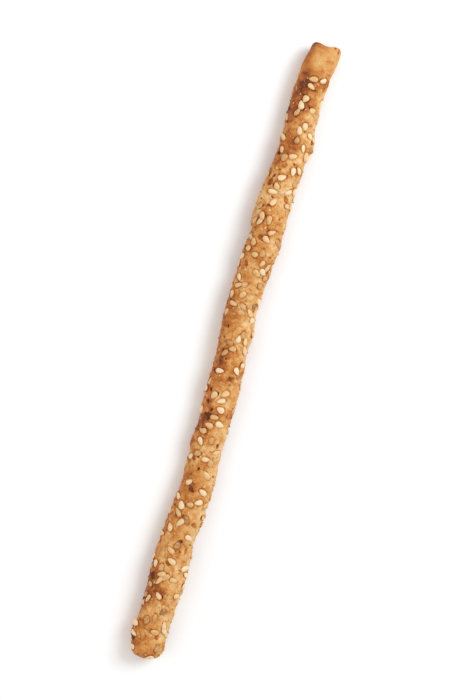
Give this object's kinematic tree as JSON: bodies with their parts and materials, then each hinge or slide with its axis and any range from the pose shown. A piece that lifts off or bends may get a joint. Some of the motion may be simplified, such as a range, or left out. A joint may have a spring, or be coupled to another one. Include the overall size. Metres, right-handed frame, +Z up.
{
  "type": "sesame breadstick",
  "caption": "Hand-rolled baked breadstick crusted with sesame: a slender dough rod with a bare cut end, a rounded end and a flat underside to rest on.",
  "frame": {"origin": "centre of the bounding box's underside, under the middle of the stick", "axes": "+Y along the stick from the rounded end to the cut end, +Z up from the side it was baked on"},
  "size_m": [0.0148, 0.2208, 0.0115],
  "materials": {
    "baked_crust": "golden baked dough crust, matt with a faint oil sheen",
    "sesame_seed": "toasted hulled sesame seed, satin"
  },
  "bodies": {
    "root": {"breadstick": "baked_crust"}
  },
  "joints": []
}
